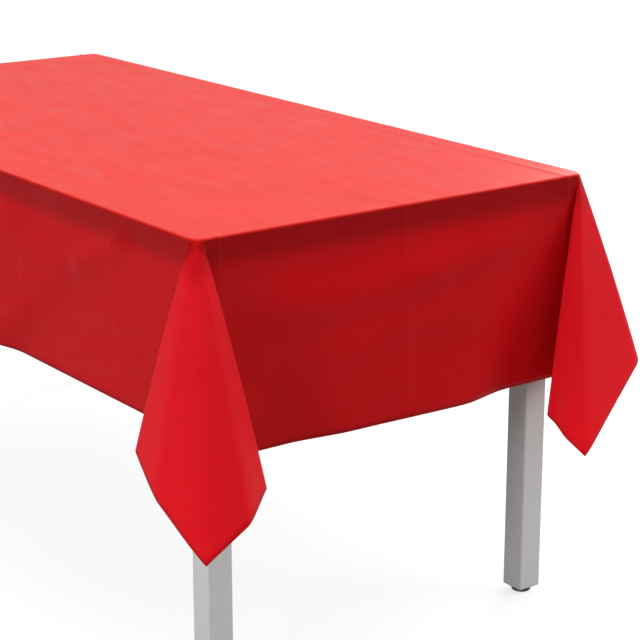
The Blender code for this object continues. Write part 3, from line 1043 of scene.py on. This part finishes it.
    def press_marks(self, cloth: bpy.types.Object) -> None:
        """Lift the finished sheet's points along its creases and wrinkles."""
        mesh = cloth.data
        count = len(mesh.vertices)
        corner = np.empty(len(mesh.loops), np.int32)
        mesh.loops.foreach_get("vertex_index", corner)
        uv = np.empty(2 * len(mesh.loops))
        mesh.uv_layers["flat"].data.foreach_get("uv", uv)
        flat = np.zeros((count, 2))
        flat[corner] = uv.reshape(-1, 2)
        place = np.empty(3 * count)
        mesh.vertices.foreach_get("co", place)
        normal = np.empty(3 * count)
        mesh.vertex_normals.foreach_get("vector", normal)
        moved = self.marked(place.reshape(-1, 3), flat, normal.reshape(-1, 3))
        mesh.vertices.foreach_set("co", moved.ravel())
        mesh.update()

    def thicken(self, cloth: bpy.types.Object) -> None:
        """Give the sheet the film's thickness, half to each side."""
        wall = cloth.modifiers.new("film", "SOLIDIFY")
        wall.thickness = self.film
        wall.offset = 0.0
        bpy.ops.object.select_all(action="DESELECT")
        cloth.select_set(True)
        bpy.context.view_layer.objects.active = cloth
        bpy.ops.object.modifier_apply(modifier=wall.name)

    def dress(self, cloth: bpy.types.Object) -> None:
        """Finish the cloth and tie it to its body and the panels that it stands for."""
        cloth.data.materials.append(FilmFinish(tuple(self.edge)).material())
        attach(cloth, "tablecloth")
        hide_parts(*[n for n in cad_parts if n.startswith("cloth_")])
        LOG.info("tablecloth: %d faces on body tablecloth", len(cloth.data.polygons))


# -------------------------------------------------------------------------------
# The studio
# -------------------------------------------------------------------------------

@dataclass(frozen=True)
class Lamp:
    """A square soft lamp. Glossy surfaces show it only if it is mirrored."""

    name: str
    place: Place
    size: float
    power: float
    mirrored: bool = False

    def hang(self, aim: Place) -> None:
        """Hang the lamp so that it faces a point."""
        light = bpy.data.lights.new(self.name, "AREA")
        light.shape = "SQUARE"
        light.size = self.size
        light.energy = self.power
        lamp = bpy.data.objects.new(self.name, light)
        lamp.location = self.place
        lamp.visible_camera = False
        lamp.visible_glossy = self.mirrored
        away = Vector(aim) - Vector(self.place)
        lamp.rotation_euler = away.to_track_quat("-Z", "Y").to_euler()
        bpy.context.collection.objects.link(lamp)


@dataclass
class Studio:
    """A pale floor, a white room and soft lamps, with the camera."""

    camera_place: Place = (3.076, -1.836, 1.433)
    azimuth: float = 53.62
    elevation: float = 16.55
    lens: float = 109.44
    sensor: float = 36.0
    view_range: float = 100.0
    lamps: tuple[Lamp, ...] = (
        Lamp("key", (1.4, -3.6, 2.5), 2.4, 90.0),
        Lamp("fill", (2.7, 3.0, 1.6), 1.6, 44.0),
        Lamp("sheen", (-0.9, 2.9, 1.45), 1.2, 34.0, True),
    )
    aim: Place = (0.4, 0.0, 0.6)
    dome_azimuth: float = 34.0
    dome_tilt: float = 22.0
    dome_focus: float = 2.4
    dome_light: float = 2.40
    room_light: float = 0.08
    backdrop_light: float = 0.97
    floor_size: float = 60.0
    floor_paint: float = 0.22
    floor_seen: float = 0.30
    floor_glow: float = 0.74
    floor_roughness: float = 0.8
    floor_gloss: float = 0.1

    def build(self) -> None:
        """Set up the floor, the light and the camera."""
        self.floor()
        self.world()
        for lamp in self.lamps:
            lamp.hang(self.aim)
        self.camera()

    def floor(self) -> None:
        """Lay a large pale floor, which the camera sees a little paler than the light does."""
        bpy.ops.object.select_all(action="DESELECT")
        bpy.ops.mesh.primitive_plane_add(size=self.floor_size, location=(0.0, 0.0, 0.0))
        floor = bpy.context.active_object
        floor.name = "floor"
        book = NodeBook("floor_paint")
        seen = book.tree.nodes.new("ShaderNodeLightPath").outputs["Is Camera Ray"]
        grey, pale, dark, glow = ((level, level, level, 1.0) for level in (
            self.floor_paint, self.floor_seen, 0.0, self.floor_glow))
        book.colour(seen, grey, pale)
        book.join(book.blend(seen, dark, glow), book.shader.inputs["Emission Color"])
        book.set(Roughness=self.floor_roughness, Specular_IOR_Level=self.floor_gloss,
                 Emission_Strength=1.0)
        floor.data.materials.append(book.material)

    def world(self) -> None:
        """Surround the scene with a white dome, brightest overhead and a little behind."""
        world = bpy.data.worlds.new("white_room")
        world.use_nodes = True
        nodes, join = world.node_tree.nodes, world.node_tree.links.new
        dome = nodes["Background"]
        dome.inputs["Color"].default_value = WHITE
        towards = nodes.new("ShaderNodeVectorMath")
        towards.operation = "DOT_PRODUCT"
        turn, tilt = math.radians(self.dome_azimuth), math.radians(self.dome_tilt)
        towards.inputs[1].default_value = (-math.sin(turn) * math.sin(tilt),
                                           math.cos(turn) * math.sin(tilt), math.cos(tilt))
        join(nodes.new("ShaderNodeTexCoord").outputs["Generated"], towards.inputs[0])
        value = towards.outputs["Value"]
        for operation, amount in (("MAXIMUM", 0.0), ("POWER", self.dome_focus),
                                  ("MULTIPLY", self.dome_light), ("ADD", self.room_light)):
            step = nodes.new("ShaderNodeMath")
            step.operation = operation
            step.inputs[1].default_value = amount
            join(value, step.inputs[0])
            value = step.outputs["Value"]
        join(value, dome.inputs["Strength"])
        backdrop = nodes.new("ShaderNodeBackground")
        backdrop.inputs["Color"].default_value = WHITE
        backdrop.inputs["Strength"].default_value = self.backdrop_light
        choice = nodes.new("ShaderNodeMixShader")
        join(nodes.new("ShaderNodeLightPath").outputs["Is Camera Ray"], choice.inputs["Fac"])
        join(dome.outputs["Background"], choice.inputs[1])
        join(backdrop.outputs["Background"], choice.inputs[2])
        join(choice.outputs["Shader"], nodes["World Output"].inputs["Surface"])
        bpy.context.scene.world = world

    def camera(self) -> None:
        """Place the camera and make it the scene's own."""
        lens = bpy.data.cameras.new("camera")
        lens.lens = self.lens
        lens.sensor_width = self.sensor
        lens.clip_end = self.view_range
        camera = bpy.data.objects.new("camera", lens)
        camera.location = self.camera_place
        camera.rotation_euler = (math.radians(90.0 - self.elevation), 0.0,
                                 math.radians(self.azimuth))
        bpy.context.collection.objects.link(camera)
        bpy.context.scene.camera = camera


def main() -> None:
    """Build the studio, dress the table and lay the cloth."""
    logging.basicConfig(level=logging.INFO, format="%(name)s: %(message)s")
    bpy.context.scene.view_settings.view_transform = "Standard"
    Studio().build()
    TableFrame().dress()
    cloth = Tablecloth()
    cloth.dress(cloth.build())


if __name__ == "__main__":
    main()
